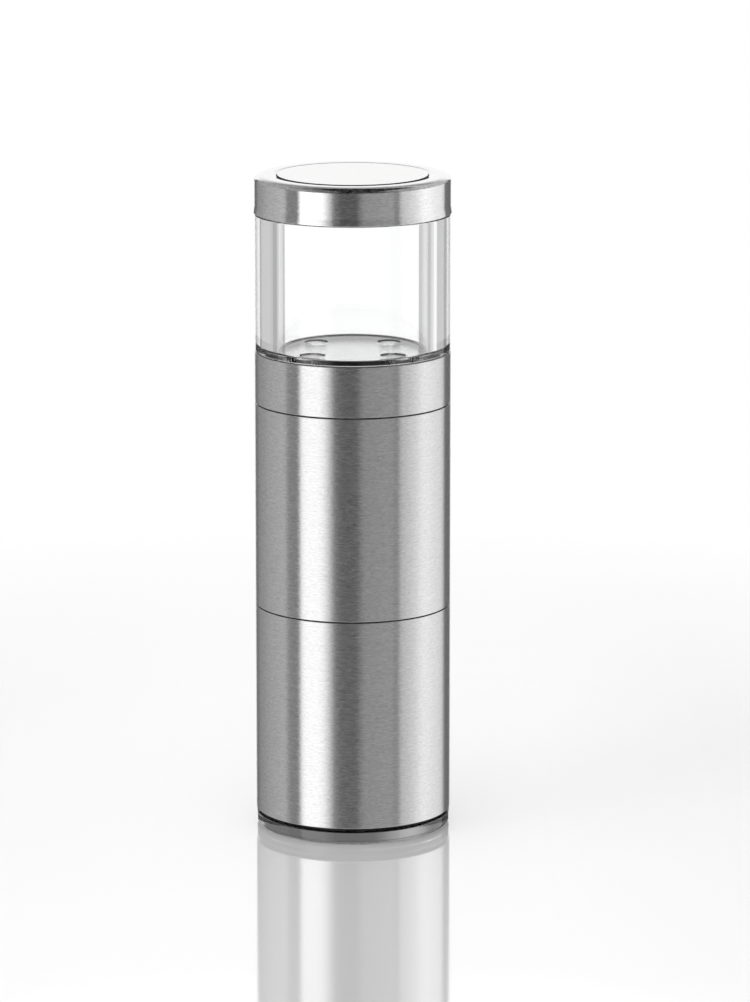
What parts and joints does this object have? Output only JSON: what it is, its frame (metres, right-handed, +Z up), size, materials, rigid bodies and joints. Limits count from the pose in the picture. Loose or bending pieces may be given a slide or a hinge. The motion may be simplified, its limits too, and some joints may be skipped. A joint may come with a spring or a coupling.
{
  "type": "mechanical nutmeg grater",
  "caption": "Steel-clad cylindrical nutmeg grater with a clear storage jar in its turning head, a spring-loaded claw, a toothed blade disc and a clear aroma lid as its foot.",
  "frame": {"origin": "middle of the aroma lid's flat underside, on the table", "axes": "+Z up along the grater's axis; the blade's slot runs along X, and -Y faces the camera"},
  "size_m": [0.0506, 0.0506, 0.169],
  "materials": {
    "brushed_steel": "fine brush marks running round the cylinder",
    "blade_steel": "bright sheet steel",
    "spring_steel": "bright drawn and turned steel",
    "black_plastic": "moulded, semi-gloss black",
    "white_plastic": "satin white",
    "clear_plastic": "clear acrylic, polished",
    "black_rubber": "matt black",
    "clear_silicone": "milky silicone",
    "natural_acetal": "natural acetal"
  },
  "bodies": {
    "base_lid": {"aroma_lid": "clear_plastic", "lid_seal": "clear_silicone"},
    "grinder": {"lower_sleeve": "brushed_steel", "lower_liner": "black_plastic", "nut_chamber": "black_plastic", "blade_disc": "blade_steel", "blade_retainer": "black_plastic"},
    "spring_housing": {"mid_sleeve": "brushed_steel", "mid_liner": "black_plastic", "bearing_plate": "black_plastic", "spigot_seal": "clear_silicone", "thrust_washer": "natural_acetal"},
    "head": {"head_ring": "brushed_steel", "head_core": "black_plastic", "hub_clip": "spring_steel", "deck_plate": "blade_steel", "jar_gasket": "black_rubber", "storage_jar": "clear_plastic", "jar_screw_left": "spring_steel", "jar_screw_right": "spring_steel", "jar_screw_back_left": "spring_steel", "jar_screw_back_right": "spring_steel", "drive_shaft": "spring_steel", "shaft_stop": "spring_steel", "spring_seat": "spring_steel", "feed_spring": "spring_steel"},
    "claw": {"claw_sleeve": "black_plastic", "claw_plug": "natural_acetal", "claw_plate": "blade_steel", "claw_screw": "spring_steel"},
    "cap": {"cap_shell": "brushed_steel", "cap_insert": "white_plastic", "cap_seal": "clear_silicone"}
  },
  "joints": [
    {"name": "lid_lift", "type": "slide", "parent": "base_lid", "child": "grinder", "axis": [0, 0, 1], "range_m": [0, 0.04]},
    {"name": "body_open", "type": "slide", "parent": "grinder", "child": "spring_housing", "axis": [0, 0, 1], "range_m": [0, 0.045]},
    {"name": "head_turn", "type": "hinge", "parent": "spring_housing", "child": "head", "pos_m": [0, 0, 0.109], "axis": [0, 0, 1], "continuous": true},
    {"name": "cap_lift", "type": "slide", "parent": "head", "child": "cap", "axis": [0, 0, 1], "range_m": [0, 0.03]},
    {"name": "claw_feed", "type": "slide", "parent": "head", "child": "claw", "axis": [0, 0, 1], "range_m": [0, 0.02], "stiffness_N_per_m": 250, "springref_m": -0.02, "deforming": ["feed_spring"]}
  ]
}
